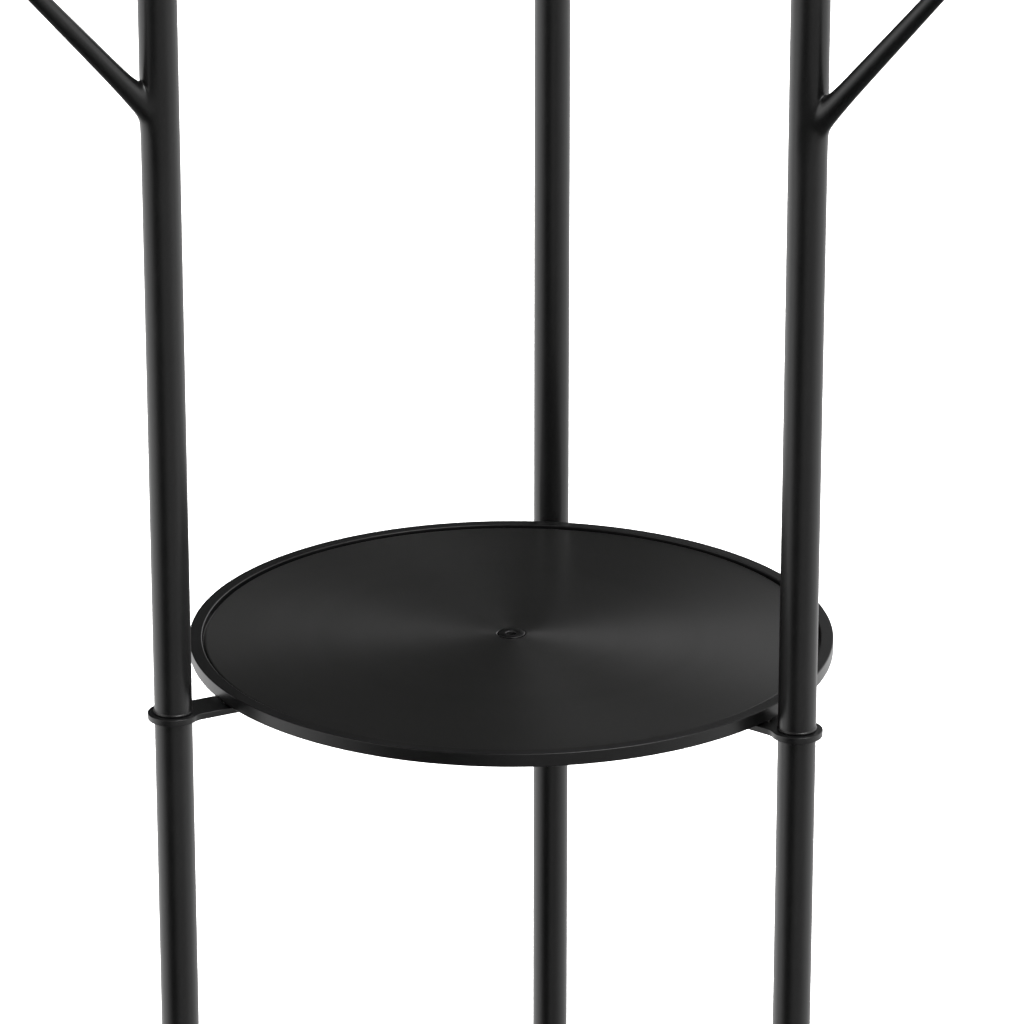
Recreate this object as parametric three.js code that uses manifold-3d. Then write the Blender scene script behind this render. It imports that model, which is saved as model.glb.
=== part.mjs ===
// Free-standing coat rack: three steel posts on a round base, a round tray held between the
// posts on a three-armed bracket, and short branches up the posts to hang things on.
// Millimetres, +Z up, origin on the floor on the tray's axis. The front of the rack faces -Y.

import * as THREE from 'three';
import { mergeVertices } from 'three/addons/utils/BufferGeometryUtils.js';
import Module from 'manifold-3d';

const wasm = await Module();
wasm.setup();

// Driving dimensions: lengths in millimetres, angles in degrees.
const fitGap = 0.3;                 // left between two pieces that touch
const cutReach = 1;                 // how far a cut runs past the face it starts from
const rackHeight = 1750;            // floor to the top of the post caps

const posts = [                     // clearance: from the tray's edge out to the post's skin
  { name: 'back', azimuth: 82.95, clearance: 2.0 },
  { name: 'left', azimuth: 208.0, clearance: 19.5 },
  { name: 'right', azimuth: 321.5, clearance: 7.0 },
];
const postDiameter = 23;
const postWall = 1.5;

const padHeight = 3;
const padDiameter = 26;
const padInset = 25;                // from the base plate's edge to a pad's centre
const baseMargin = 19;              // from the outermost post's axis to the base plate's edge
const baseThickness = 6;
const baseChamfer = 1;

const insertLength = 22;
const studDiameter = 10;
const studLength = 44;
const baseScrewDiameter = 8;
const baseScrewHeadDiameter = 16.5;
const baseScrewLength = 24;

const trayHeight = 790;             // floor to the top of the tray's rim
const trayDiameter = 400;
const rimTopWidth = 8;
const rimDepth = 8.3;
const rimFootHeight = 1.2;          // how far the ledge hangs below the rim's outer wall
const rimChamfer = 0.5;
const ledgeWidth = 6;               // how far the rim reaches in under the disc
const discRecess = 1.5;             // from the rim's top down to the disc's top
const discGap = 1.5;                // all round, between the disc and the rim
const discThickness = 2.5;
const discChamfer = 0.8;

const bracketThickness = 4;
const armWidth = 23;
const armFillet = 9;
const eyeMargin = 4.1;              // how far an eye shows round its post
const hubDiameter = 90;
const rimScrewDiameter = 4;
const rimScrewHeadDiameter = 7.6;
const rimScrewHeadHeight = 2.2;
const rimScrewHeadChamfer = 0.7;
const rimScrewBite = 4.5;           // how far a rim screw reaches up into the rim

const trayScrewDiameter = 8;
const trayScrewHeadDiameter = 17.3;
const trayScrewSocket = 6;          // across the flats of its hexagonal socket
const trayScrewSocketDepth = 3;
const trayScrewTail = 2;            // past the nut
const washerDiameter = 16;
const washerThickness = 1.6;
const nutAcrossFlats = 13;
const nutHeight = 6.5;
const spacerDiameter = 40;

const branchNodeHeights = [360, 545, 730];    // above the tray's rim
const branchTurns = [0, 112.5, -112.5];          // about the post, from straight outwards
const branchElevation = 48;                   // above the horizontal
const branchLength = 170;                     // along its axis, from the post's axis
const branchRootDiameter = 13;
const branchTipDiameter = 9;
const branchFlareMargin = 2;                  // how far the weld stands out round the root
const branchFlareLength = 14;                 // how far the flare runs out past the post

const capHeight = 4;
const capSpigotLength = 12;

// Facets round each kind of piece.
const tubeSides = 24;
const smallSides = 16;
const discSides = 96;

// Sizes that follow from the ones above.
const trayRadius = trayDiameter / 2;
const postRadius = postDiameter / 2;
const postPlaces = posts.map(({ name, azimuth, clearance }) => (
  { name, azimuth, radius: trayRadius + clearance + postRadius }
));
const outermostPost = Math.max(...postPlaces.map((place) => place.radius));
const baseRadius = outermostPost + baseMargin;
const boreRadius = postRadius - postWall;
const insertRadius = boreRadius - fitGap;
const baseBottom = padHeight + fitGap;
const baseTop = baseBottom + baseThickness;
const rimBottom = trayHeight - rimDepth;
const rimFootBottom = rimBottom - rimFootHeight;
const bracketTop = rimFootBottom - fitGap;
const bracketBottom = bracketTop - bracketThickness;
const eyeRadius = postRadius + eyeMargin;
const rimInnerRadius = trayRadius - rimTopWidth;
const discRadius = rimInnerRadius - discGap;
const discTop = trayHeight - discRecess;
const discBottom = discTop - discThickness;
const rimScrewCircle = trayRadius - rimTopWidth / 2;
const lowerPostBottom = baseTop + fitGap;
const lowerPostTop = bracketBottom - fitGap;
const upperPostBottom = bracketTop + fitGap;
const upperPostTop = rackHeight - capHeight - fitGap;

const steelBlack = { color: 0x1d1d1e, roughness: 0.42, metalness: 0.35 };
const discBlack = { color: 0x222222, roughness: 0.34, metalness: 0.6 };
const plainSteel = { color: 0x8d8f92, roughness: 0.35, metalness: 0.9 };
const felt = { color: 0x2b2b2b, roughness: 0.95, metalness: 0.0 };

const rack = new THREE.Group();

function addPiece(name, geometry, finish, x = 0, y = 0, z = 0) {
  const piece = new THREE.Mesh(geometry, new THREE.MeshStandardMaterial(finish));
  piece.name = name;
  piece.position.set(x, y, z);
  rack.add(piece);
}

// A shape turned about +Z from a closed outline of [radius, height] points.
function turned(outline, sides) {
  const points = outline.map(([radius, height]) => new THREE.Vector2(radius, height));
  const geometry = new THREE.LatheGeometry(points, sides);
  return geometry.rotateX(Math.PI / 2);
}

// A ring or a tube standing on z = bottom.
function ring(innerRadius, outerRadius, bottom, top, sides) {
  return turned([
    [innerRadius, bottom], [outerRadius, bottom], [outerRadius, top], [innerRadius, top],
    [innerRadius, bottom],
  ], sides);
}

function rod(radius, bottom, top, sides) {
  return turned([[0, bottom], [radius, bottom], [radius, top], [0, top]], sides);
}

// Joins and cuts work on closed solids made from the geometry's positions alone.
function toSolid(geometry) {
  const bare = new THREE.BufferGeometry();
  bare.setAttribute('position', geometry.getAttribute('position').clone());
  if (geometry.index) bare.setIndex(geometry.index.clone());
  const merged = mergeVertices(bare, 1e-4);
  return new wasm.Manifold(new wasm.Mesh({
    numProp: 3,
    vertProperties: new Float32Array(merged.getAttribute('position').array),
    triVerts: new Uint32Array(merged.index.array),
  }));
}

function toGeometry(solid) {
  const mesh = solid.getMesh();
  const geometry = new THREE.BufferGeometry();
  geometry.setAttribute('position', new THREE.BufferAttribute(mesh.vertProperties, 3));
  geometry.setIndex(new THREE.BufferAttribute(mesh.triVerts, 1));
  geometry.computeVertexNormals();
  return geometry;
}

const radians = THREE.MathUtils.degToRad;

function placeOnCircle(azimuth, radius) {
  return [radius * Math.cos(radians(azimuth)), radius * Math.sin(radians(azimuth))];
}

// A flat-headed screw, head up, top at z = 0. Its cone is a right angle.
function flatScrewOutline(headRadius, shankRadius, length) {
  const coneDepth = headRadius - shankRadius;
  return [
    [0, -length], [shankRadius, -length], [shankRadius, -coneDepth], [headRadius, 0], [0, 0],
  ];
}

// The hole that a flat-headed screw sinks into: its cone and shank grown by the fit gap.
function flatScrewHole(headRadius, shankRadius, length) {
  const outerShank = shankRadius + fitGap;
  const outerHead = headRadius + fitGap;
  return turned([
    [0, -length - cutReach], [outerShank, -length - cutReach],
    [outerShank, outerShank - outerHead], [outerHead, 0], [outerHead, cutReach], [0, cutReach],
  ], tubeSides);
}

// Base plate: a steel disc with a chamfered edge and three countersunk holes underneath.
const baseScrewHeadRadius = baseScrewHeadDiameter / 2;
const baseScrewRadius = baseScrewDiameter / 2;
let basePlate = toSolid(turned([
  [0, baseBottom], [baseRadius, baseBottom],
  [baseRadius, baseTop - baseChamfer], [baseRadius - baseChamfer, baseTop],
  [0, baseTop],
], discSides));
for (const place of postPlaces) {
  const [x, y] = placeOnCircle(place.azimuth, place.radius);
  const hole = flatScrewHole(baseScrewHeadRadius, baseScrewRadius, baseThickness);
  hole.rotateX(Math.PI);
  hole.translate(x, y, baseBottom);
  basePlate = basePlate.subtract(toSolid(hole));
}
addPiece('base_plate', toGeometry(basePlate), steelBlack);

// Floor pads: one in the middle and two between each pair of posts.
addPiece('centre_pad', rod(padDiameter / 2, 0, padHeight, smallSides), felt);
let padNumber = 0;
postPlaces.forEach((place, index) => {
  const next = postPlaces[(index + 1) % postPlaces.length];
  const span = (next.azimuth - place.azimuth + 360) % 360;
  for (const share of [1 / 3, 2 / 3]) {
    padNumber += 1;
    const [x, y] = placeOnCircle(place.azimuth + span * share, baseRadius - padInset);
    addPiece(`floor_pad_${padNumber}`, rod(padDiameter / 2, 0, padHeight, smallSides), felt, x, y);
  }
});

// Bracket: a flat plate with a round hub and three arms that end in eyes around the post joints.
function bracketOutline() {
  const outline = new THREE.Shape();
  const halfWidth = armWidth / 2;
  const hubRadius = hubDiameter / 2;
  const filletReach = eyeRadius + armFillet;
  const filletSide = halfWidth + armFillet;
  const filletBack = Math.sqrt(filletReach ** 2 - filletSide ** 2);
  const tangent = Math.atan2(filletSide, filletBack);
  const hubAngle = Math.asin(halfWidth / hubRadius);
  postPlaces.forEach((place, index) => {
    const turn = radians(place.azimuth);
    const next = radians(postPlaces[(index + 1) % postPlaces.length].azimuth);
    const at = (along, across) => [
      along * Math.cos(turn) - across * Math.sin(turn),
      along * Math.sin(turn) + across * Math.cos(turn),
    ];
    const hubEdge = hubRadius * Math.cos(hubAngle);
    const neck = place.radius - filletBack;
    if (index === 0) outline.moveTo(...at(hubEdge, -halfWidth));
    outline.lineTo(...at(neck, -halfWidth));
    outline.absarc(...at(neck, -filletSide), armFillet, turn + Math.PI / 2, turn + tangent, true);
    outline.absarc(...at(place.radius, 0), eyeRadius, turn + tangent - Math.PI,
      turn + Math.PI - tangent, false);
    outline.absarc(...at(neck, filletSide), armFillet, turn - tangent, turn - Math.PI / 2, true);
    outline.lineTo(...at(hubEdge, halfWidth));
    outline.absarc(0, 0, hubRadius, turn + hubAngle, next - hubAngle, false);
  });
  return outline;
}

function roundHole(x, y, radius) {
  const hole = new THREE.Path();
  hole.absarc(x, y, radius, 0, 2 * Math.PI, true);
  return hole;
}

const bracketShape = bracketOutline();
bracketShape.holes.push(roundHole(0, 0, trayScrewDiameter / 2 + fitGap));
for (const place of postPlaces) {
  bracketShape.holes.push(
    roundHole(...placeOnCircle(place.azimuth, place.radius), studDiameter / 2 + fitGap),
    roundHole(...placeOnCircle(place.azimuth, rimScrewCircle), rimScrewDiameter / 2 + fitGap),
  );
}
const bracket = new THREE.ExtrudeGeometry(bracketShape, {
  depth: bracketThickness,
  bevelEnabled: false,
  curveSegments: 10,
});
addPiece('tray_bracket', toGeometry(toSolid(bracket)), steelBlack, 0, 0, bracketBottom);

// Tray rim: a turned ring with a ledge for the disc and a blind screw hole over each arm.
const ledgeTop = discBottom - fitGap;
const ledgeInnerRadius = discRadius - ledgeWidth;
let rim = toSolid(turned([
  [ledgeInnerRadius, rimFootBottom], [rimInnerRadius, rimFootBottom],
  [rimInnerRadius, rimBottom], [trayRadius - rimChamfer, rimBottom],
  [trayRadius, rimBottom + rimChamfer], [trayRadius, trayHeight - rimChamfer],
  [trayRadius - rimChamfer, trayHeight], [rimInnerRadius + rimChamfer, trayHeight],
  [rimInnerRadius, trayHeight - rimChamfer], [rimInnerRadius, ledgeTop],
  [ledgeInnerRadius, ledgeTop], [ledgeInnerRadius, rimFootBottom],
], discSides));
for (const place of postPlaces) {
  const hole = rod(rimScrewDiameter / 2 + fitGap, -cutReach, rimScrewBite + fitGap,
    smallSides);
  hole.translate(...placeOnCircle(place.azimuth, rimScrewCircle), rimBottom);
  rim = rim.subtract(toSolid(hole));
}
addPiece('tray_rim', toGeometry(rim), steelBlack);

// Tray disc: turned flat, with an eased edge and a countersunk hole in the middle.
const trayScrewHeadRadius = trayScrewHeadDiameter / 2;
const trayScrewRadius = trayScrewDiameter / 2;
const discHole = flatScrewHole(trayScrewHeadRadius, trayScrewRadius, discThickness + rimDepth);
discHole.translate(0, 0, discTop);
const disc = toSolid(turned([
  [0, discBottom], [discRadius, discBottom], [discRadius, discTop - discChamfer],
  [discRadius - discChamfer, discTop], [0, discTop],
], discSides)).subtract(toSolid(discHole));
addPiece('tray_disc', toGeometry(disc), discBlack);

// Tray fixing: a spacer under the disc, then a flat-headed screw down to a washer and nut.
const spacerBottom = bracketTop + fitGap;
const spacerTop = discBottom - fitGap;
const spacerHole = flatScrewHole(trayScrewHeadRadius, trayScrewRadius, discThickness + rimDepth);
spacerHole.translate(0, 0, discTop);
const spacer = toSolid(rod(spacerDiameter / 2, spacerBottom, spacerTop, tubeSides))
  .subtract(toSolid(spacerHole));
addPiece('tray_spacer', toGeometry(spacer), plainSteel);

const washerTop = bracketBottom - fitGap;
const nutTop = washerTop - washerThickness - fitGap;
const trayScrewLength = discTop - (nutTop - nutHeight - trayScrewTail);
addPiece('tray_washer', ring(trayScrewRadius + fitGap, washerDiameter / 2,
  washerTop - washerThickness, washerTop, tubeSides), plainSteel);

const nut = toSolid(rod(nutAcrossFlats / Math.sqrt(3), nutTop - nutHeight, nutTop, 6))
  .subtract(toSolid(rod(trayScrewRadius + fitGap, nutTop - nutHeight - cutReach,
    nutTop + cutReach, smallSides)));
addPiece('tray_nut', toGeometry(nut), plainSteel);

const socket = rod(trayScrewSocket / Math.sqrt(3), -trayScrewSocketDepth, cutReach, 6);
const trayScrew = toSolid(turned(
  flatScrewOutline(trayScrewHeadRadius, trayScrewRadius, trayScrewLength), tubeSides,
)).subtract(toSolid(socket));
addPiece('tray_screw', toGeometry(trayScrew), steelBlack, 0, 0, discTop);

// Posts: a lower and an upper tube with threaded inserts in their ends. A stud through the
// bracket's eye joins the two, so that they clamp the eye between them.
function branchGeometry() {
  const root = branchRootDiameter / 2;
  const tip = branchTipDiameter / 2;
  const flareRoot = root + branchFlareMargin;
  const flareEnd = postRadius + branchFlareLength;
  const straightEnd = branchLength - tip;
  const radiusAt = (along) => root + (tip - root) * (along / straightEnd);
  const points = [new THREE.Vector2(0, 0), new THREE.Vector2(flareRoot, 0)];
  const flareSteps = 4;
  for (let step = 0; step <= flareSteps; step += 1) {
    const share = step / flareSteps;
    const along = postRadius + (flareEnd - postRadius) * share;
    const extra = (flareRoot - root) * (1 - share) ** 2;
    points.push(new THREE.Vector2(radiusAt(along) + extra, along));
  }
  points.push(new THREE.Vector2(tip, straightEnd));
  const tipSteps = 4;
  for (let step = 1; step <= tipSteps; step += 1) {
    const angle = (Math.PI / 2) * (step / tipSteps);
    const radius = step === tipSteps ? 0 : tip * Math.cos(angle);
    points.push(new THREE.Vector2(radius, straightEnd + tip * Math.sin(angle)));
  }
  return new THREE.LatheGeometry(points, smallSides);
}

function addPost(place) {
  const [x, y] = placeOnCircle(place.azimuth, place.radius);
  const name = (piece) => `${place.name}_${piece}`;
  const insert = (bottom, screwDiameter) => ring(
    screwDiameter / 2 + fitGap, insertRadius, bottom, bottom + insertLength, tubeSides);

  const baseScrew = turned(
    flatScrewOutline(baseScrewHeadRadius, baseScrewRadius, baseScrewLength), tubeSides);
  baseScrew.rotateX(Math.PI);
  addPiece(name('base_screw'), baseScrew, plainSteel, x, y, baseBottom);
  addPiece(name('lower_post'), ring(boreRadius, postRadius, lowerPostBottom, lowerPostTop,
    tubeSides), steelBlack, x, y);
  addPiece(name('foot_insert'), insert(lowerPostBottom, baseScrewDiameter), plainSteel, x, y);
  addPiece(name('lower_insert'), insert(lowerPostTop - insertLength, studDiameter), plainSteel,
    x, y);

  const studMiddle = (bracketBottom + bracketTop) / 2;
  addPiece(name('stud'), rod(studDiameter / 2, studMiddle - studLength / 2,
    studMiddle + studLength / 2, smallSides), plainSteel, x, y);
  addPiece(name('upper_insert'), insert(upperPostBottom, studDiameter), plainSteel, x, y);
  addPiece(name('upper_post'), ring(boreRadius, postRadius, upperPostBottom, upperPostTop,
    tubeSides), steelBlack, x, y);

  // Cap: a low dome with a spigot that is pushed into the tube.
  const capBottom = upperPostTop + fitGap;
  const domeSteps = 5;
  const cap = [[0, capBottom - capSpigotLength], [insertRadius, capBottom - capSpigotLength],
    [insertRadius, capBottom], [postRadius, capBottom]];
  for (let step = 1; step <= domeSteps; step += 1) {
    const angle = (Math.PI / 2) * (step / domeSteps);
    const radius = step === domeSteps ? 0 : postRadius * Math.cos(angle);
    cap.push([radius, capBottom + capHeight * Math.sin(angle)]);
  }
  addPiece(name('post_cap'), turned(cap, tubeSides), steelBlack, x, y);

  // Branches: tapered rods with round tips, notched to the post and welded to it.
  branchNodeHeights.forEach((nodeHeight, index) => {
    const heading = radians(place.azimuth + branchTurns[index]);
    const climb = radians(branchElevation);
    const direction = new THREE.Vector3(
      Math.cos(climb) * Math.cos(heading),
      Math.cos(climb) * Math.sin(heading),
      Math.sin(climb),
    );
    const turn = new THREE.Quaternion().setFromUnitVectors(new THREE.Vector3(0, 1, 0), direction);
    const branch = branchGeometry().applyQuaternion(turn);
    const notch = rod(postRadius + fitGap, -branchLength, branchLength, tubeSides);
    const notched = toSolid(branch).subtract(toSolid(notch));
    const pieces = notched.decompose();
    const outer = pieces.reduce((best, one) => (one.volume() > best.volume() ? one : best));
    addPiece(name(`branch_${index + 1}`), toGeometry(outer), steelBlack, x, y,
      trayHeight + nodeHeight);
  });

  // Rim screw: from under the arm up into the rim.
  const headRadius = rimScrewHeadDiameter / 2;
  const rimScrewTop = rimBottom + rimScrewBite - (bracketBottom - fitGap);
  const rimScrew = turned([
    [0, -rimScrewHeadHeight], [headRadius - rimScrewHeadChamfer, -rimScrewHeadHeight],
    [headRadius, -rimScrewHeadHeight + rimScrewHeadChamfer], [headRadius, 0],
    [rimScrewDiameter / 2, 0], [rimScrewDiameter / 2, rimScrewTop], [0, rimScrewTop],
  ], smallSides);
  const [screwX, screwY] = placeOnCircle(place.azimuth, rimScrewCircle);
  addPiece(name('rim_screw'), rimScrew, plainSteel, screwX, screwY, bracketBottom - fitGap);
}

postPlaces.forEach(addPost);

export default rack;
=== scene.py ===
# A free-standing coat rack: three black steel posts with welded branches rise from a round
# base plate and hold a round turned tray between them. Metres, front towards -Y.
import math
import bmesh
import bpy
from mathutils import Matrix, Vector


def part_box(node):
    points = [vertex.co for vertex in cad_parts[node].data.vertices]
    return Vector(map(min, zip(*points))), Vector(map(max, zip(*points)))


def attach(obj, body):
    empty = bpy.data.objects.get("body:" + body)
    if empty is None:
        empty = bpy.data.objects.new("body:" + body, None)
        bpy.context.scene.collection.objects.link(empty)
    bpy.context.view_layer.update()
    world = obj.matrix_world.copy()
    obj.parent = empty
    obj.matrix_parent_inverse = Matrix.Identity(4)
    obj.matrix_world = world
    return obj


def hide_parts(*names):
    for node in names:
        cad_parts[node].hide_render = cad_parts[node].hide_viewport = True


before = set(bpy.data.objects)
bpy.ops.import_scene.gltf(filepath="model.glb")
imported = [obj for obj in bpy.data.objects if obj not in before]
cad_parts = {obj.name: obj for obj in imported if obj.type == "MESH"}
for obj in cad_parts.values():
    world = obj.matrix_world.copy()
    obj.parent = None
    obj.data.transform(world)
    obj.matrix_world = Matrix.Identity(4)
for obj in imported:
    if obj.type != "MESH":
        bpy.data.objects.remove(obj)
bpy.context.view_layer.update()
full_turn = 2 * math.pi


# Base plate: a round blank of 6 mm steel, its top edge eased, with three countersunk holes
# underneath for the screws that hold the posts. Powder coated satin black all over.

class Reading:
    """What a node's socket holds at each point of a surface. Arithmetic adds Math nodes."""

    def __init__(self, finish, socket):
        self.finish = finish
        self.socket = socket

    def maths(self, operation, *terms):
        return self.finish.node("ShaderNodeMath", {"operation": operation}, dict(enumerate(terms)))

    def __add__(self, other):
        return self.maths("ADD", self, other)

    def __radd__(self, other):
        return self.maths("ADD", other, self)

    def __sub__(self, other):
        return self.maths("SUBTRACT", self, other)

    def __rsub__(self, other):
        return self.maths("SUBTRACT", other, self)

    def __mul__(self, other):
        return self.maths("MULTIPLY", self, other)

    def __rmul__(self, other):
        return self.maths("MULTIPLY", other, self)

    def __truediv__(self, other):
        return self.maths("DIVIDE", self, other)

    def __rtruediv__(self, other):
        return self.maths("DIVIDE", other, self)


class Finish:
    """A surface finish: a Principled shader, and the nodes that vary it over the piece."""

    def __init__(self, name, constants):
        self.material = bpy.data.materials.new(name)
        self.material.use_nodes = True
        self.tree = self.material.node_tree
        self.shader = self.tree.nodes["Principled BSDF"]
        self.feed(self.shader, constants)
        self.place = self.node("ShaderNodeTexCoord", {}, {}, "Object")

    def feed(self, node, values):
        for socket, value in values.items():
            if isinstance(value, Reading):
                self.tree.links.new(value.socket, node.inputs[socket])
            else:
                node.inputs[socket].default_value = value

    def node(self, kind, settings, values, output=0):
        node = self.tree.nodes.new(kind)
        for setting, value in settings.items():
            if setting == "stops":
                stops = node.color_ramp.elements
                while len(stops) < len(value):
                    stops.new(1.0)
                for stop, (position, grey) in zip(stops, value):
                    stop.position = position
                    stop.color = (grey, grey, grey, 1.0)
            else:
                setattr(node, setting, value)
        self.feed(node, values)
        return Reading(self, node.outputs[output])

    def stretched(self, scale, centre=(0.0, 0.0, 0.0)):
        """Places on the piece, measured from centre and scaled along each axis."""
        offset = tuple(-part * factor for part, factor in zip(centre, scale))
        return self.node("ShaderNodeMapping", {}, {
            "Vector": self.place, "Location": offset, "Scale": scale})

    def cloud(self, scale, detail=2.0, roughness=0.5, at=None):
        """Soft random mottling from 0 to 1; scale is in features per metre."""
        return self.node("ShaderNodeTexNoise", {}, {
            "Vector": at or self.place, "Scale": scale, "Detail": detail, "Roughness": roughness})

    def ramp(self, reading, stops):
        return self.node("ShaderNodeValToRGB", {"stops": stops}, {0: reading})

    def blend(self, share, low, high):
        """Colour that goes from low to high as share goes from 0 to 1."""
        return self.node("ShaderNodeMix", {"data_type": "RGBA"}, {
            "Factor": share, 6: (*low, 1.0), 7: (*high, 1.0)}, 2)

    def relief(self, height, depth, below=None):
        """A normal bent by a height reading; depth is the relief's real depth in metres."""
        values = {"Height": height, "Distance": depth, "Strength": 1.0}
        if below is not None:
            values["Normal"] = below
        return self.node("ShaderNodeBump", {}, values)


def powder_coat(name, gloss=0.5):
    """Satin black powder coat: fine orange peel, faint mottling, and dulled handled patches."""
    coat = Finish(name, {
        "Metallic": 0.0, "IOR": 1.5, "Specular IOR Level": gloss})
    peel = coat.cloud(1900.0, 1.0)
    ripple = coat.cloud(260.0, 2.0)
    mottle = coat.cloud(38.0, 3.0)
    handled = coat.ramp(coat.cloud(11.0, 4.0, 0.6), [(0.45, 0.0), (0.72, 1.0)])
    specks = coat.ramp(coat.cloud(850.0, 0.0), [(0.70, 0.0), (0.76, 1.0)])
    coat.feed(coat.shader, {
        "Base Color": coat.blend(mottle * 0.6 + specks * 0.4,
                                 (0.0014, 0.0014, 0.0015), (0.0042, 0.0042, 0.0041)),
        "Roughness": 0.26 + mottle * 0.05 + handled * 0.035 + peel * 0.03,
        "Normal": coat.relief(peel, 0.000012, coat.relief(ripple, 0.00002)),
    })
    return coat.material


def hardened(shape, angle_limit, size, segments=3):
    """Round over every edge of a shape that turns through more than angle_limit."""
    sharp = [edge for edge in shape.edges if edge.calc_face_angle(0.0) > angle_limit]
    bmesh.ops.bevel(shape, geom=sharp, offset=size, offset_type="OFFSET", affect="EDGES",
                    segments=segments, profile=0.5, material=-1, clamp_overlap=True)
    return shape


def set_piece(shape, name, finish, replaced, even_shading=True):
    """Make a piece from a finished shape, fix it to the frame and give it its finish."""
    bmesh.ops.recalc_face_normals(shape, faces=shape.faces)
    mesh = bpy.data.meshes.new(name)
    shape.to_mesh(mesh)
    shape.free()
    mesh.shade_smooth()
    mesh.materials.append(finish)
    piece = bpy.data.objects.new(name, mesh)
    bpy.context.scene.collection.objects.link(piece)
    if even_shading:
        piece.modifiers.new("even_shading", "WEIGHTED_NORMAL").keep_sharp = True
    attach(piece, "root")
    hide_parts(*replaced)
    return piece


def middle(node):
    """The middle of a CAD node's box."""
    low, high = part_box(node)
    return (low + high) / 2


def cut_plate(shape, bottom, top):
    """Fill the closed outlines drawn in shape as one flat face and give it its thickness."""
    bmesh.ops.triangle_fill(shape, use_beauty=True, use_dissolve=False, edges=shape.edges[:],
                            normal=(0, 0, 1))
    skin = bmesh.ops.extrude_face_region(shape, geom=shape.faces[:])["geom"]
    raised = [part for part in skin if isinstance(part, bmesh.types.BMVert)]
    bmesh.ops.translate(shape, verts=raised, vec=(0, 0, top - bottom))
    bmesh.ops.recalc_face_normals(shape, faces=shape.faces)
    return shape


def circle(shape, centre, radius, height, steps):
    return bmesh.ops.create_circle(
        shape, cap_ends=False, radius=radius, segments=steps,
        matrix=Matrix.Translation((centre.x, centre.y, height)))["verts"]


sides = ("back", "left", "right")
base_low, base_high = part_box("base_plate")
base_radius = (base_high.x - base_low.x) / 2
base_hole_radius = 0.0043
base_countersink = 0.0042
base_edge_ease = 0.001
plate = bmesh.new()
circle(plate, middle("base_plate"), base_radius, base_low.z, 256)
for side in sides:
    circle(plate, middle(side + "_base_screw"), base_hole_radius, base_low.z, 48)
cut_plate(plate, base_low.z, base_high.z)
countersunk = []
for edge in plate.edges:
    lies_under = max(vert.co.z for vert in edge.verts) < base_low.z + 1e-6
    by_hole = any((vert.co - middle(side + "_base_screw")).xy.length < 0.006
                  for vert in edge.verts for side in sides)
    if lies_under and by_hole and edge.calc_face_angle(0.0) > 1.0:
        countersunk.append(edge)
bmesh.ops.bevel(plate, geom=countersunk, offset=base_countersink, affect="EDGES",
                segments=1, profile=0.5, material=-1)
rounded = [edge for edge in plate.edges
           if edge.calc_face_angle(0.0) > 1.0 and edge.verts[0].co.xy.length > base_radius - 1e-4]
bmesh.ops.bevel(plate, geom=rounded, offset=base_edge_ease, affect="EDGES", segments=4, profile=0.5,
                material=-1)
set_piece(plate, "base_plate_steel", powder_coat("satin_black_base"),
          ["base_plate"])


# Floor pads: seven felt glides under the plate, one in the middle and two between each pair
# of posts. Punched from pressed felt 3 mm thick and stuck on; the cut edge stays fuzzy.

def turned(outline, centre, steps, closed=True):
    """Turn an outline of (radius, height) points about the upright axis through centre."""
    shape = bmesh.new()
    axis = Vector((centre.x, centre.y, 0.0))
    points = [shape.verts.new((axis.x + radius, axis.y, height)) for radius, height in outline]
    ends = points[1:] + points[:1] if closed else points[1:]
    lines = [shape.edges.new(pair) for pair in zip(points, ends)]
    bmesh.ops.spin(shape, geom=points + lines, cent=axis, axis=(0, 0, 1), dvec=(0, 0, 0),
                   angle=full_turn, steps=steps, use_merge=True, use_duplicate=False)
    bmesh.ops.remove_doubles(shape, verts=shape.verts, dist=1e-6)
    bmesh.ops.recalc_face_normals(shape, faces=shape.faces)
    return shape


def pressed_felt():
    felt = Finish("pressed_felt", {
        "Roughness": 0.95, "Specular IOR Level": 0.2, "Sheen Weight": 0.35,
        "Sheen Roughness": 0.6})
    fibres = felt.cloud(1400.0, 4.0, 0.7, felt.stretched((1.0, 0.35, 1.0)))
    crossing = felt.cloud(1400.0, 4.0, 0.7, felt.stretched((0.35, 1.0, 1.0)))
    clumps = felt.cloud(260.0, 3.0)
    felt.feed(felt.shader, {
        "Base Color": felt.blend(fibres * 0.5 + clumps * 0.5,
                                 (0.018, 0.018, 0.019), (0.060, 0.060, 0.062)),
        "Roughness": 0.85 + clumps * 0.15,
        "Normal": felt.relief(fibres + crossing, 0.00025),
    })
    return felt.material


felt_finish = pressed_felt()
pad_corner = 0.0006
for number in range(7):
    cad_pad = f"floor_pad_{number}" if number else "centre_pad"
    pad_low, pad_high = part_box(cad_pad)
    pad_radius = (pad_high.x - pad_low.x) / 2
    pad = turned([(0.0, pad_low.z), (pad_radius, pad_low.z), (pad_radius, pad_high.z),
                  (0.0, pad_high.z)], middle(cad_pad), 64, closed=False)
    hardened(pad, 1.0, pad_corner)
    set_piece(pad, f"felt_glide_{number}", felt_finish, [cad_pad])


# Base screws: M8 countersunk screws of zinc-plated steel, driven up through the plate from
# below into the post inserts, their heads flush with the underside.

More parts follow.
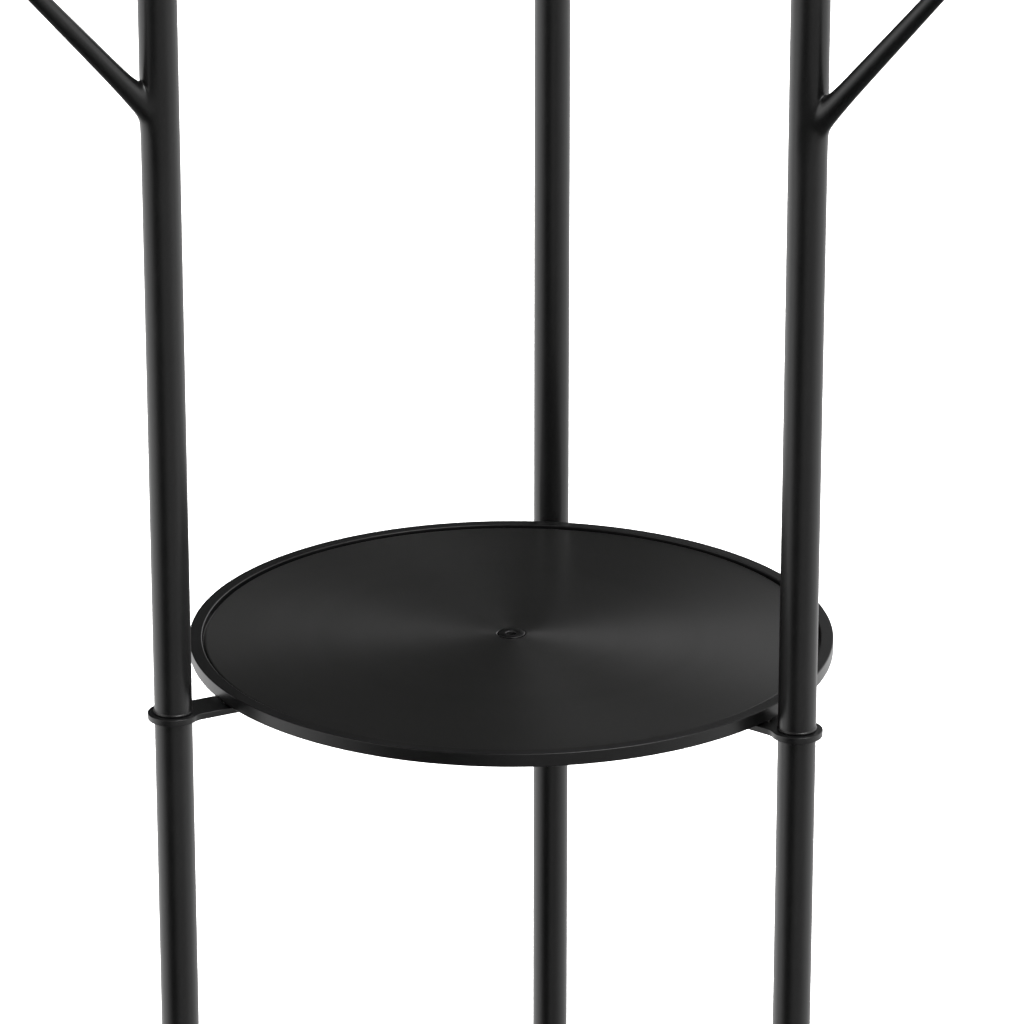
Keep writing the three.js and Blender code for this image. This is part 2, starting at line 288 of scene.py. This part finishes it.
def plated_steel(name):
    """Bright zinc plating: a grey metal with cloudy patches and fine drawn scratches."""
    plating = Finish(name, {"Metallic": 1.0, "Roughness": 0.35})
    patches = plating.cloud(210.0, 3.0)
    drawn = plating.cloud(900.0, 2.0, 0.6, plating.stretched((1.0, 1.0, 0.05)))
    plating.feed(plating.shader, {
        "Base Color": plating.blend(patches, (0.36, 0.37, 0.38), (0.56, 0.56, 0.54)),
        "Roughness": 0.26 + patches * 0.16 + drawn * 0.10,
        "Normal": plating.relief(drawn, 0.000008),
    })
    return plating.material


def hex_reach(direction, across_flats):
    """How far a hexagon reaches in a direction; its corners are at multiples of 60 degrees."""
    sixth = math.radians(60.0)
    off_flat = (direction % sixth) - sixth / 2
    return across_flats / 2 / math.cos(off_flat)


def reshape_loop(verts, centre, height, reach):
    """Move a loop of points level with height, as far from centre as reach says for each."""
    for vert in verts:
        arm = (vert.co - centre).xy
        out = reach(math.atan2(arm.y, arm.x))
        arm.normalize()
        vert.co = Vector((centre.x + arm.x * out, centre.y + arm.y * out, height))


def push_loop(shape, edges, centre, height, reach):
    """Extrude a loop of edges to a new height and outline, and give back the new edges."""
    grown = bmesh.ops.extrude_edge_only(shape, edges=edges)["geom"]
    reshape_loop([part for part in grown if isinstance(part, bmesh.types.BMVert)],
                 centre, height, reach)
    return [part for part in grown if isinstance(part, bmesh.types.BMEdge)]


def open_loop(shape, height):
    """The open edges of a shape that lie at a height."""
    return [edge for edge in shape.edges
            if edge.is_boundary and abs(edge.verts[0].co.z - height) < 1e-6]


def flat_head_screw(centre, head, tail, head_radius, shank_radius, key, socket_depth,
                    edge_land=0.0003):
    """A countersunk screw with a hexagonal socket; head and tail are its two end heights."""
    way = 1.0 if tail > head else -1.0
    lip_radius = key * 0.64
    tail_point = 0.0008
    cone = head + way * (head_radius - shank_radius)
    screw = turned([
        (lip_radius, head), (head_radius - edge_land, head), (head_radius, head + way * edge_land),
        (shank_radius + 0.0003, cone), (shank_radius, cone + way * 0.0003),
        (shank_radius, tail - way * tail_point), (shank_radius - tail_point, tail), (0.0, tail),
    ], centre, 48, closed=False)
    hexagon = lambda direction: hex_reach(direction, key)
    mouth = open_loop(screw, head)
    walls = push_loop(screw, mouth, centre, head + way * 0.0005, hexagon)
    floor = push_loop(screw, walls, centre, head + way * socket_depth, hexagon)
    drilled = push_loop(screw, floor, centre, head + way * (socket_depth + 0.0001),
                        lambda direction: key * 0.42)
    point = push_loop(screw, drilled, centre, head + way * (socket_depth + 0.0009),
                      lambda direction: key * 0.01)
    bmesh.ops.pointmerge(screw, verts=list({vert for edge in point for vert in edge.verts}),
                         merge_co=(centre.x, centre.y, head + way * (socket_depth + 0.001)))
    return screw


zinc_finish = plated_steel("zinc_plated_steel")
m8_radius = 0.004
socket_depth = 0.003
base_screw_key = 0.005
for side in sides:
    cad_screw = side + "_base_screw"
    screw_low, screw_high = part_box(cad_screw)
    screw = flat_head_screw(middle(cad_screw), screw_low.z, screw_high.z,
                            (screw_high.x - screw_low.x) / 2, m8_radius, base_screw_key,
                            socket_depth)
    set_piece(screw, cad_screw + "_plated", zinc_finish, [cad_screw])


# Lower posts: 23 mm steel tube with 1.5 mm walls, sawn square and eased at both ends, coated
# like the plate. Each stands on the plate and is pulled down by its base screw.

coat_finish = powder_coat("satin_black_coat")
tube_wall = 0.0015
tube_ease = 0.0004
for side in sides:
    cad_tube = side + "_lower_post"
    tube_low, tube_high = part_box(cad_tube)
    tube_radius = (tube_high.x - tube_low.x) / 2
    bore = tube_radius - tube_wall
    tube = turned([(bore, tube_low.z), (tube_radius, tube_low.z), (tube_radius, tube_high.z),
                   (bore, tube_high.z)], middle(cad_tube), 96)
    hardened(tube, 1.0, tube_ease)
    set_piece(tube, cad_tube + "_tube", coat_finish, [cad_tube])


# Inserts and studs: plated threaded inserts are pressed into the tube ends, and a plated stud
# screws up through each eye of the bracket to clamp the lower and upper posts on it.

def rolled_thread(pitch):
    """Zinc plating over a thread: rings a pitch apart, each root darker with painted shade and
    rougher.
    """
    plating = Finish("rolled_thread", {"Metallic": 1.0})
    height = plating.node("ShaderNodeSeparateXYZ", {}, {"Vector": plating.place}, "Z")
    rings = (height * (full_turn / pitch)).maths("SINE", height * (full_turn / pitch)) * 0.5 + 0.5
    patches = plating.cloud(300.0, 2.0)
    plating.feed(plating.shader, {
        # The colour goes darker at each thread root: painted shade where the groove would be
        # shaded.
        "Base Color": plating.blend(rings * 0.7 + patches * 0.3,
                                    (0.20, 0.20, 0.20), (0.55, 0.55, 0.54)),
        "Roughness": 0.42 - rings * 0.12 + patches * 0.08,
        "Normal": plating.relief(rings, 0.0003),
    })
    return plating.material


thread_finish = rolled_thread(0.0015)
for side in sides:
    for part in ("foot_insert", "lower_insert", "upper_insert"):
        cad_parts[f"{side}_{part}"].material_slots[0].material = zinc_finish
    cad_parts[side + "_stud"].material_slots[0].material = thread_finish


# Tray bracket: a flat three-armed plate, laser cut from 4 mm steel and coated. Round eyes at
# the arms' ends are clamped between the posts; the tray is screwed down on the arms and hub.

def bend(shape, start, centre, angle, steps):
    """Sweep a point round centre, leaving an arc of edges, and give back where it ends."""
    first = shape.verts.new(start)
    swept = bmesh.ops.spin(shape, geom=[first], cent=centre, axis=(0, 0, 1), dvec=(0, 0, 0),
                           angle=angle, steps=steps, use_merge=False, use_duplicate=False)
    last = [part for part in swept["geom_last"] if isinstance(part, bmesh.types.BMVert)][0]
    return first, last


arm_half_width = 0.023 / 2
eye_radius = 0.0156
arm_fillet = 0.009
hub_radius = 0.045
stud_hole = 0.0053
rim_screw_hole = 0.0023
tray_screw_hole = 0.0043
bracket_ease = 0.0004
bracket_low, bracket_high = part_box("tray_bracket")
fillet_reach = eye_radius + arm_fillet
fillet_side = arm_half_width + arm_fillet
fillet_back = math.sqrt(fillet_reach ** 2 - fillet_side ** 2)
fillet_turn = math.atan2(fillet_side, fillet_back)
hub_turn = math.asin(arm_half_width / hub_radius)
level = bracket_low.z
bracket = bmesh.new()
arms = sorted((math.atan2(middle(side + "_stud").y, middle(side + "_stud").x) % full_turn,
               middle(side + "_stud").xy.length) for side in sides)
ends = []
for number, (turn, reach) in enumerate(arms):
    next_turn = arms[(number + 1) % 3][0]
    arm = Matrix.Rotation(turn, 4, "Z")
    eye = arm @ Vector((reach, 0.0, level))
    for flank in (-1, 1):
        corner = arm @ Vector((reach - fillet_back, flank * fillet_side, level))
        neck = arm @ Vector((reach - fillet_back, flank * arm_half_width, level))
        ends.append(bend(bracket, neck, corner, flank * (math.pi / 2 - fillet_turn), 12))
    first_side = arm @ Vector((reach - fillet_back, -fillet_side, level))
    eye_start = eye + (first_side - eye).normalized() * eye_radius
    ends.append(bend(bracket, eye_start, eye, 2 * math.pi - 2 * fillet_turn, 56))
    hub_start = arm @ Vector((hub_radius * math.cos(hub_turn), arm_half_width, level))
    gap = (next_turn - turn) % full_turn - 2 * hub_turn
    ends.append(bend(bracket, hub_start, Vector((0, 0, level)), gap, 36))
for number in range(3):
    # The arcs come in fours: the two fillets, the eye, and the hub up to the next arm.
    low_fillet, high_fillet = ends[4 * number:4 * number + 2]
    hub_before, hub_after = ends[(4 * number - 1) % 12], ends[4 * number + 3]
    bracket.edges.new((hub_before[1], low_fillet[0]))
    bracket.edges.new((high_fillet[0], hub_after[0]))
bmesh.ops.remove_doubles(bracket, verts=bracket.verts, dist=1e-5)
circle(bracket, middle("tray_screw"), tray_screw_hole, level, 48)
for side in sides:
    circle(bracket, middle(side + "_stud"), stud_hole, level, 48)
    circle(bracket, middle(side + "_rim_screw"), rim_screw_hole, level, 32)
cut_plate(bracket, bracket_low.z, bracket_high.z)
hardened(bracket, 1.0, bracket_ease)
set_piece(bracket, "tray_bracket_plate", powder_coat("satin_black_bracket"),
          ["tray_bracket"])


# Tray rim: a ring turned from steel, flat on top with eased corners, and with a ledge inside
# at the foot that carries the disc. Coated satin black like the bracket that it stands on.

rim_low, rim_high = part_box("tray_rim")
disc_low, disc_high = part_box("tray_disc")
rim_radius = (rim_high.x - rim_low.x) / 2
# The disc is cut a little small, so that the gap round it shows.
disc_shrink = 0.0003
disc_radius = (disc_high.x - disc_low.x) / 2 - disc_shrink
rim_top_width = 0.008
rim_inner = rim_radius - rim_top_width
foot_height = 0.0012
ledge_width = 0.006
ledge_inner = disc_radius - ledge_width
ledge_top = disc_low.z - 0.0003
rim_ease = 0.0007
rim = turned([
    (ledge_inner, rim_low.z), (rim_inner, rim_low.z), (rim_inner, rim_low.z + foot_height),
    (rim_radius, rim_low.z + foot_height), (rim_radius, rim_high.z),
    (rim_inner, rim_high.z), (rim_inner, ledge_top), (ledge_inner, ledge_top),
], middle("tray_rim"), 320)
hardened(rim, 1.0, rim_ease, 5)
set_piece(rim, "tray_rim_ring", powder_coat("satin_black_rim", 0.38), ["tray_rim"])


# Rim screws: three small plated pan-head screws that come up through the arms into the rim.
# Each low rounded head sits under an arm and takes a hexagonal key.

for side in sides:
    cad_screw = side + "_rim_screw"
    screw_low, screw_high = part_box(cad_screw)
    head_radius = (screw_high.x - screw_low.x) / 2
    head_top = bracket_low.z - 0.0003
    shank = 0.002
    key = 0.0025
    centre = middle(cad_screw)
    screw = turned([
        (key * 0.64, screw_low.z), (head_radius * 0.6, screw_low.z + 0.0001),
        (head_radius * 0.88, screw_low.z + 0.0006), (head_radius, screw_low.z + 0.0014),
        (head_radius, head_top), (shank, head_top), (shank, screw_high.z - 0.0005),
        (shank - 0.0005, screw_high.z), (0.0, screw_high.z),
    ], centre, 48, closed=False)
    hexagon = lambda direction: hex_reach(direction, key)
    walls = push_loop(screw, open_loop(screw, screw_low.z), centre, screw_low.z + 0.0002, hexagon)
    floor = push_loop(screw, walls, centre, screw_low.z + 0.0013, hexagon)
    bmesh.ops.pointmerge(screw, verts=list({vert for edge in floor for vert in edge.verts}),
                         merge_co=(centre.x, centre.y, screw_low.z + 0.0016))
    hardened(screw, 1.0, 0.00012, 2)
    set_piece(screw, cad_screw + "_plated", zinc_finish, [cad_screw])


# Tray disc: a steel disc faced on a lathe and blackened, so that fine concentric tool marks
# catch the light. Its rounded shoulder drops to the ledge, and its middle is countersunk.

def turned_black():
    disc = Finish("turned_black_steel", {
        "Metallic": 0.0, "IOR": 1.5, "Specular IOR Level": 0.5, "Anisotropic": 0.8,
        "Anisotropic Rotation": 0.25, "Roughness": 0.36})
    flat = disc.node("ShaderNodeVectorMath", {"operation": "MULTIPLY"}, {
        0: disc.place, 1: (1.0, 1.0, 0.0)})
    from_middle = disc.node("ShaderNodeVectorMath", {"operation": "LENGTH"}, {0: flat}, "Value")
    along = disc.node("ShaderNodeCombineXYZ", {}, {"X": from_middle})
    tool_marks = disc.cloud(1600.0, 3.0, 0.7, along)
    bands = disc.cloud(90.0, 3.0, 0.6, along)
    grain = disc.cloud(1300.0, 2.0, 0.6)
    tarnish = disc.cloud(16.0, 4.0, 0.6)
    disc.feed(disc.shader, {
        "Base Color": disc.blend(bands * 0.4 + grain * 0.3 + tarnish * 0.3,
                                 (0.0020, 0.0020, 0.0020), (0.0052, 0.0052, 0.0051)),
        "Roughness": 0.24 + bands * 0.07 + tool_marks * 0.05 + tarnish * 0.05,
        "Normal": disc.relief(tool_marks, 0.000006, disc.relief(grain, 0.00001)),
    })
    return disc.material


screw_low, screw_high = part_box("tray_screw")
head_radius = (screw_high.x - screw_low.x) / 2
head_gap = 0.0003
hole_radius = 0.0043
shoulder = 0.0008
disc = turned([
    (hole_radius, disc_low.z), (disc_radius - 0.0006, disc_low.z),
    (disc_radius, disc_low.z + 0.0006),
    (disc_radius, disc_high.z - shoulder),
    (disc_radius - shoulder * 0.11, disc_high.z - shoulder * 0.55),
    (disc_radius - shoulder * 0.29, disc_high.z - shoulder * 0.29),
    (disc_radius - shoulder * 0.55, disc_high.z - shoulder * 0.11),
    (disc_radius - shoulder, disc_high.z), (disc_radius - shoulder * 1.6, disc_high.z),
    (head_radius + head_gap + 0.001, disc_high.z), (head_radius + head_gap + 0.0004, disc_high.z),
    (head_radius + head_gap + 0.0001, disc_high.z - 0.0001),
    (head_radius + head_gap - 0.0002, disc_high.z - 0.0004),
    (head_radius - 0.0021, disc_low.z),
], middle("tray_disc"), 320)
set_piece(disc, "tray_disc_plate", turned_black(), ["tray_disc"],
          even_shading=False)


# Tray fixing: a blackened M8 countersunk screw goes down through the disc, a plated spacer
# and the hub, to a plated washer and hexagon nut underneath.

def black_oxide():
    oxide = Finish("black_oxide_steel", {"Metallic": 1.0, "Roughness": 0.3})
    patches = oxide.cloud(420.0, 3.0)
    scuffs = oxide.cloud(2600.0, 2.0, 0.6)
    oxide.feed(oxide.shader, {
        "Base Color": oxide.blend(patches, (0.045, 0.045, 0.046), (0.10, 0.10, 0.10)),
        "Roughness": 0.24 + patches * 0.10 + scuffs * 0.08,
        "Normal": oxide.relief(scuffs, 0.000006),
    })
    return oxide.material


# Its head stands a little proud of the disc, with a chamfer round it that catches the light.
head_proud = 0.0005
tray_screw_key = 0.006
screw = flat_head_screw(middle("tray_screw"), screw_high.z + head_proud, screw_low.z, head_radius,
                        m8_radius, tray_screw_key, socket_depth, head_proud)
set_piece(screw, "tray_screw_black", black_oxide(), ["tray_screw"])

spacer_low, spacer_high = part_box("tray_spacer")
spacer = turned([
    (hole_radius, spacer_low.z), ((spacer_high.x - spacer_low.x) / 2, spacer_low.z),
    ((spacer_high.x - spacer_low.x) / 2, spacer_high.z), (hole_radius + 0.0016, spacer_high.z),
    (hole_radius, spacer_high.z - 0.0016),
], middle("tray_spacer"), 96)
hardened(spacer, 1.0, 0.0003, 2)
set_piece(spacer, "tray_spacer_turned", zinc_finish, ["tray_spacer"])

washer_low, washer_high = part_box("tray_washer")
washer_radius = (washer_high.x - washer_low.x) / 2
washer = turned([
    (hole_radius, washer_low.z), (washer_radius, washer_low.z), (washer_radius, washer_high.z),
    (hole_radius, washer_high.z),
], middle("tray_washer"), 72)
hardened(washer, 1.0, 0.0003, 2)
set_piece(washer, "tray_washer_stamped", zinc_finish, ["tray_washer"])

nut_low, nut_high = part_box("tray_nut")
nut_flats = nut_high.x - nut_low.x
nut_centre = middle("tray_nut")
chamfer_circle = nut_flats / 2 - 0.0002


def nut_outline(direction):
    return hex_reach(direction - math.radians(30.0), nut_flats)


nut = bmesh.new()
circle(nut, nut_centre, hole_radius, nut_low.z + 0.0006, 72)
loop = push_loop(nut, nut.edges[:], nut_centre, nut_low.z, lambda way: hole_radius + 0.0005)
loop = push_loop(nut, loop, nut_centre, nut_low.z, lambda way: chamfer_circle)
for foot, slope in ((nut_low.z, 1.0), (nut_high.z, -1.0)):
    grown = bmesh.ops.extrude_edge_only(nut, edges=loop)["geom"]
    loop = [part for part in grown if isinstance(part, bmesh.types.BMEdge)]
    corners = {vert for edge in loop for vert in edge.verts}
    reshape_loop(corners, nut_centre, foot, nut_outline)
    for vert in corners:
        vert.co.z += slope * ((vert.co - nut_centre).xy.length - chamfer_circle) * 0.55
loop = push_loop(nut, loop, nut_centre, nut_high.z, lambda way: chamfer_circle)
loop = push_loop(nut, loop, nut_centre, nut_high.z, lambda way: hole_radius + 0.0005)
loop = push_loop(nut, loop, nut_centre, nut_high.z - 0.0006, lambda way: hole_radius)
bmesh.ops.bridge_loops(nut, edges=[edge for edge in nut.edges if edge.is_boundary])
set_piece(nut, "tray_nut_plated", zinc_finish, ["tray_nut"])


# Upper posts: the same tube as below, with a fine bead at the foot and three tapered rods
# welded on at a rising slant. The welds are ground to a smooth root before coating.

columns = 16
column_turn = full_turn / columns
# A subdivided ring of 16 sides ends up this much smaller than its cage.
ring_shrink = 0.97463
branch_turns = (0.0, math.radians(112.5), math.radians(-112.5))
branch_climb = math.radians(48.0)
branch_reach = 0.170
root_radius = 0.0065
tip_radius = 0.0045
# Heights above the tray's rim at which the branches' axes leave the post's.
branch_rises = (0.360, 0.545, 0.730)
weld_half_turn = math.radians(47.0)
weld_half_height = 0.0152
weld_lift = 0.0006
foot_bead = 0.0005
root_swell = 0.0015
root_swell_reach = 0.045


def loop_verts(edges):
    return list({vert for edge in edges for vert in edge.verts})


def grow(shape, edges):
    """Extrude a loop of edges in place, and give back the new edges."""
    grown = bmesh.ops.extrude_edge_only(shape, edges=edges)["geom"]
    return [part for part in grown if isinstance(part, bmesh.types.BMEdge)]


def post_cage(centre, heading, radius, bore, heights):
    """A tube of square faces, two walls thick, whose columns line up with the heading."""
    shape = bmesh.new()
    half_column = Matrix.Rotation(heading + column_turn / 2, 4, "Z")
    place = Matrix.Translation((centre.x, centre.y, heights[0]))
    bmesh.ops.create_circle(shape, cap_ends=False, radius=bore, segments=columns,
                            matrix=place @ half_column)
    loop = shape.edges[:]
    inside_rows = [heights[1], heights[-2], heights[-1]]
    first = loop
    for height, before in zip(inside_rows, [heights[0]] + inside_rows):
        loop = grow(shape, loop)
        bmesh.ops.translate(shape, verts=loop_verts(loop), vec=(0, 0, height - before))
    loop = grow(shape, loop)
    widen = Matrix.Translation(centre) @ Matrix.Diagonal(
        (radius / bore, radius / bore, 1.0, 1.0)) @ Matrix.Translation(-centre)
    bmesh.ops.transform(shape, verts=loop_verts(loop), matrix=widen)
    rows = list(reversed(heights))
    for height, before in zip(rows[1:], rows):
        loop = grow(shape, loop)
        bmesh.ops.translate(shape, verts=loop_verts(loop), vec=(0, 0, height - before))
    bmesh.ops.bridge_loops(shape, edges=first + loop)
    return shape


def weld_branch(shape, centre, radius, heading, node_height):
    """Open the post's skin at a node and grow a branch out of the opening."""
    outwards = Vector((math.cos(heading), math.sin(heading), 0.0))
    across = Vector((-math.sin(heading), math.cos(heading), 0.0))
    along = outwards * math.cos(branch_climb) + Vector((0, 0, math.sin(branch_climb)))
    over = Vector((0, 0, math.cos(branch_climb))) - outwards * math.sin(branch_climb)
    start = Vector((centre.x, centre.y, node_height))
    weld_height = node_height + radius * math.tan(branch_climb)

    def from_node(point):
        """How many columns round, and how many thirds of the weld up, a point is."""
        arm = (point - centre).xy
        off = (math.atan2(arm.y, arm.x) - heading + math.pi) % full_turn - math.pi
        return off / column_turn, (point.z - weld_height) / (weld_half_height * 2 / 3)

    opened = []
    for face in shape.faces:
        middle_point = face.calc_center_median()
        turn, rise = from_node(middle_point)
        outside = (middle_point - centre).xy.length > radius - 0.001
        if abs(turn) < 2.6 and abs(rise) < 1.6 and outside:
            opened.append(face)
    rim_edges = [edge for face in opened for edge in face.edges]
    loop = [edge for edge in set(rim_edges) if rim_edges.count(edge) == 1]
    bmesh.ops.delete(shape, geom=opened, context="FACES")

    # Each point of the opening keeps the direction round the branch that it belongs to.
    layers = shape.verts.layers.float
    way_round = layers.get("way_round") or layers.new("way_round")
    for vert in loop_verts(loop):
        turn, rise = from_node(vert.co)
        if rise > 1.0:
            vert[way_round] = turn * column_turn
        elif rise < -1.0:
            vert[way_round] = math.pi - turn * column_turn
        else:
            vert[way_round] = math.copysign(math.pi / 2 - rise * column_turn, turn)
    return loop, way_round, start, outwards, across, along, over, weld_height


def place_loop(edges, way_round, where):
    for vert in loop_verts(edges):
        vert.co = where(vert[way_round])


def add_branch(shape, centre, radius, heading, node_height):
    loop, way_round, start, outwards, across, along, over, weld_height = weld_branch(
        shape, centre, radius, heading, node_height)
    cage = 1 / ring_shrink

    def on_post(way, grow_by):
        """A point on the post's skin, a share of the way out to the weld's foot."""
        off = heading + weld_half_turn * grow_by * math.sin(way)
        # The foot runs further up the post, above the branch, than it does down.
        rise = weld_half_height * grow_by * math.cos(way) + weld_lift
        return Vector((centre.x + radius * cage * math.cos(off),
                       centre.y + radius * cage * math.sin(off), weld_height + rise))

    def joint(way):
        """How far along its axis the branch's skin meets the post's, in one direction round."""
        side_step = root_radius * math.sin(way)
        depth = math.sqrt(radius ** 2 - side_step ** 2)
        lift = root_radius * math.cos(way) * math.sin(branch_climb)
        return (depth + lift) / math.cos(branch_climb)

    def on_branch(distance, way, thickness):
        rim_point = over * math.cos(way) + across * math.sin(way)
        return start + along * distance + rim_point * (thickness * cage)

    def taper(distance):
        swell = root_swell * max(0.0, 1.0 - distance / root_swell_reach) ** 2
        return root_radius + (tip_radius - root_radius) * distance / branch_reach + swell

    place_loop(loop, way_round, lambda way: on_post(way, 1.0))
    loop = grow(shape, loop)
    place_loop(loop, way_round, lambda way: on_branch(
        joint(way) + 0.0008, way, taper(joint(way)) + 0.0008 + 0.0008 * max(0.0, math.cos(way))))
    loop = grow(shape, loop)
    place_loop(loop, way_round, lambda way: on_branch(
        joint(way) + 0.0048 + 0.0016 * math.cos(way), way, taper(joint(way) + 0.003) + 0.0002))
    loop = grow(shape, loop)
    place_loop(loop, way_round, lambda way: on_branch(
        0.6 * (joint(way) + 0.011) + 0.4 * 0.036, way, taper(0.5 * (joint(way) + 0.036))))
    for distance in (0.040, 0.065, 0.095, 0.125, 0.150, 0.163):
        loop = grow(shape, loop)
        place_loop(loop, way_round, lambda way: on_branch(distance, way, taper(distance)))
    for distance, share in ((0.1674, 0.90), (0.1694, 0.52)):
        loop = grow(shape, loop)
        place_loop(loop, way_round, lambda way: on_branch(distance, way, tip_radius * share))
    bmesh.ops.contextual_create(shape, geom=loop)


for side in sides:
    cad_tube = side + "_upper_post"
    tube_low, tube_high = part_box(cad_tube)
    centre = Vector((middle(cad_tube).x, middle(cad_tube).y, 0.0))
    radius = (tube_high.x - tube_low.x) / 2
    heading = math.atan2(centre.y, centre.x)
    node_heights = [rim_high.z + rise for rise in branch_rises]
    heights = [tube_low.z + rise for rise in (0.0, 0.0004, 0.0010, 0.0014, 0.0020, 0.0050)]
    for node_height in node_heights:
        weld_height = node_height + radius * math.tan(branch_climb)
        heights += [weld_height + weld_half_height * share
                    for share in (-4.0, -1.9, -1.0, -1 / 3, 1 / 3, 1.0, 1.9, 4.0)]
    heights += [tube_high.z - 0.004, tube_high.z - 0.0004, tube_high.z]
    post = post_cage(centre, heading, radius / ring_shrink, (radius - tube_wall) / ring_shrink,
                     heights)
    for vert in post.verts:
        beside = (vert.co - centre).xy.length > radius - 0.0005
        if beside and vert.co.z < tube_low.z + 0.0012:
            vert.co += (vert.co - centre).xy.to_3d().normalized() * foot_bead
    for turn, node_height in zip(branch_turns, node_heights):
        add_branch(post, centre, radius, heading + turn, node_height)
    piece = set_piece(post, side + "_post_with_branches", coat_finish,
                      [cad_tube] + [f"{side}_branch_{number}" for number in (1, 2, 3)],
                      even_shading=False)
    smoothing = piece.modifiers.new("smoothing", "SUBSURF")
    smoothing.levels = 2
    smoothing.render_levels = 2


# Post caps: low domed plugs, turned from steel, coated, and pushed into the tubes' tops on a
# spigot until the dome's shoulder meets the tube.

for side in sides:
    cad_cap = side + "_post_cap"
    cap_low, cap_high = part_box(cad_cap)
    cap_radius = (cap_high.x - cap_low.x) / 2
    spigot = cap_radius - tube_wall - 0.0003
    dome_foot = cap_high.z - 0.004
    dome = [(cap_radius * math.cos(math.radians(angle)),
             dome_foot + 0.004 * math.sin(math.radians(angle))) for angle in range(18, 90, 9)]
    cap = turned([
        (0.0, cap_low.z), (spigot - 0.0008, cap_low.z), (spigot, cap_low.z + 0.0008),
        (spigot, dome_foot), (cap_radius - 0.0003, dome_foot), (cap_radius, dome_foot + 0.0003),
        *dome, (0.0, cap_high.z),
    ], middle(cad_cap), 96, closed=False)
    set_piece(cap, cad_cap + "_turned", coat_finish, [cad_cap])


# Studio: a plain pale floor, bright all round, with the light kept low and broad to the sides
# and behind and held back in front, so that the black steel shows its round edges.

floor_shape = bmesh.new()
bmesh.ops.create_grid(floor_shape, x_segments=8, y_segments=8, size=40.0)
floor_mesh = bpy.data.meshes.new("studio_floor")
floor_shape.to_mesh(floor_mesh)
floor_shape.free()
floor = bpy.data.objects.new("studio_floor", floor_mesh)
bpy.context.scene.collection.objects.link(floor)
floor_finish = Finish("pale_floor", {"Roughness": 0.9, "Specular IOR Level": 0.0})
floor_finish.feed(floor_finish.shader, {"Base Color": floor_finish.blend(
    floor_finish.cloud(3.0), (0.84, 0.84, 0.84), (0.86, 0.86, 0.86))})
floor.data.materials.append(floor_finish.material)
floor.visible_glossy = False

world = bpy.data.worlds.new("studio_light")
bpy.context.scene.world = world
world.use_nodes = True
sky = world.node_tree


class Sky(Finish):
    """The world's nodes, written in the same way as a finish."""

    def __init__(self, tree):
        self.tree = tree
        self.place = self.node("ShaderNodeTexCoord", {}, {}, "Generated")


light = Sky(sky)
split = light.node("ShaderNodeSeparateXYZ", {}, {"Vector": light.place}, "X")
to_right = Reading(light, split.socket.node.outputs["X"])
to_back = Reading(light, split.socket.node.outputs["Y"])
upward = Reading(light, split.socket.node.outputs["Z"])
# Bearing: 0 and 1 are behind the rack, 0.25 its left, 0.5 the front and 0.75 its right.
bearing = to_back.maths("ARCTAN2", to_right, 0.0 - to_back) / full_turn + 0.5


def soft_edge(start, end):
    """A smooth rise from 0 to 1 between two bearings: the soft edge of a panel."""
    return light.node("ShaderNodeMapRange", {"interpolation_type": "SMOOTHSTEP"}, {
        "Value": bearing, "From Min": start, "From Max": end})


# Below eye level: a broad panel on the left, a weaker one on the right that reaches round
# behind, and a faint fill in front, with a dark gap between the fill and the left panel.
left_panel = 1.70 * (0.48 + 0.52 * soft_edge(0.00, 0.16)) * (1.0 - soft_edge(0.23, 0.40))
front_fill = 0.48 * soft_edge(0.43, 0.53)
right_panel = 0.75 * soft_edge(0.60, 0.78)
low_ring = left_panel + front_fill + right_panel
# Above it: a panel on each side, and nothing behind but the right one's edge.
high_left = 1.80 * soft_edge(0.14, 0.27) * (1.0 - soft_edge(0.32, 0.44))
high_right = 1.30 * soft_edge(0.55, 0.71)
front_glow = 0.20 * soft_edge(0.40, 0.46)
high_ring = high_left + (high_right + front_glow) * (1.0 - soft_edge(0.955, 0.995)) + 0.03
raised = light.ramp(upward * 0.5 + 0.5, [(0.41, 0.0), (0.48, 1.0)])
lit_below = light.ramp(upward * 0.5 + 0.5, [(0.12, 0.10), (0.27, 1.0)])
below_top = light.ramp(upward, [(0.38, 1.0), (0.58, 0.35), (0.95, 0.15)])
toward_panel = light.node("ShaderNodeVectorMath", {"operation": "DOT_PRODUCT"}, {
    0: light.place, 1: (0.40, -0.39, 0.83)}, "Value")
top_panel = light.ramp(toward_panel, [(0.80, 0.0), (0.93, 0.05), (0.985, 1.0)]) * 9.0
strength = low_ring * lit_below * (1.0 - raised) + high_ring * raised * below_top + top_panel
camera_ray = light.node("ShaderNodeLightPath", {}, {}, "Is Camera Ray")
plain = strength * (1.0 - camera_ray) + camera_ray * 1.0
light.feed(sky.nodes["Background"], {"Color": (1.0, 1.0, 1.0, 1.0), "Strength": plain})

overhead_panel = bpy.data.lights.new("overhead_panel", "AREA")
overhead_panel.shape = "DISK"
overhead_panel.size = 14.0
overhead_panel.energy = 2600.0
panel = bpy.data.objects.new("overhead_panel", overhead_panel)
panel.location = (0.0, 0.0, 7.0)
panel.visible_glossy = False
panel.visible_camera = False
bpy.context.scene.collection.objects.link(panel)
bpy.context.scene.view_settings.view_transform = "Standard"


# Camera: a long lens, level with the top of the rack and looking 20 degrees down at the tray.

camera_pitch = math.radians(20.0)
camera_distance = 3.4
aim = Vector((0.0004, 0.0, rim_high.z + 0.0787))
lens = bpy.data.cameras.new("camera")
lens.lens = 193.9
lens.sensor_width = 36.0
camera = bpy.data.objects.new("camera", lens)
towards_camera = Vector((0.0, -math.cos(camera_pitch), math.sin(camera_pitch)))
camera.location = aim + towards_camera * camera_distance
camera.rotation_euler = (math.pi / 2 - camera_pitch, 0.0, 0.0)
bpy.context.scene.collection.objects.link(camera)
bpy.context.scene.camera = camera
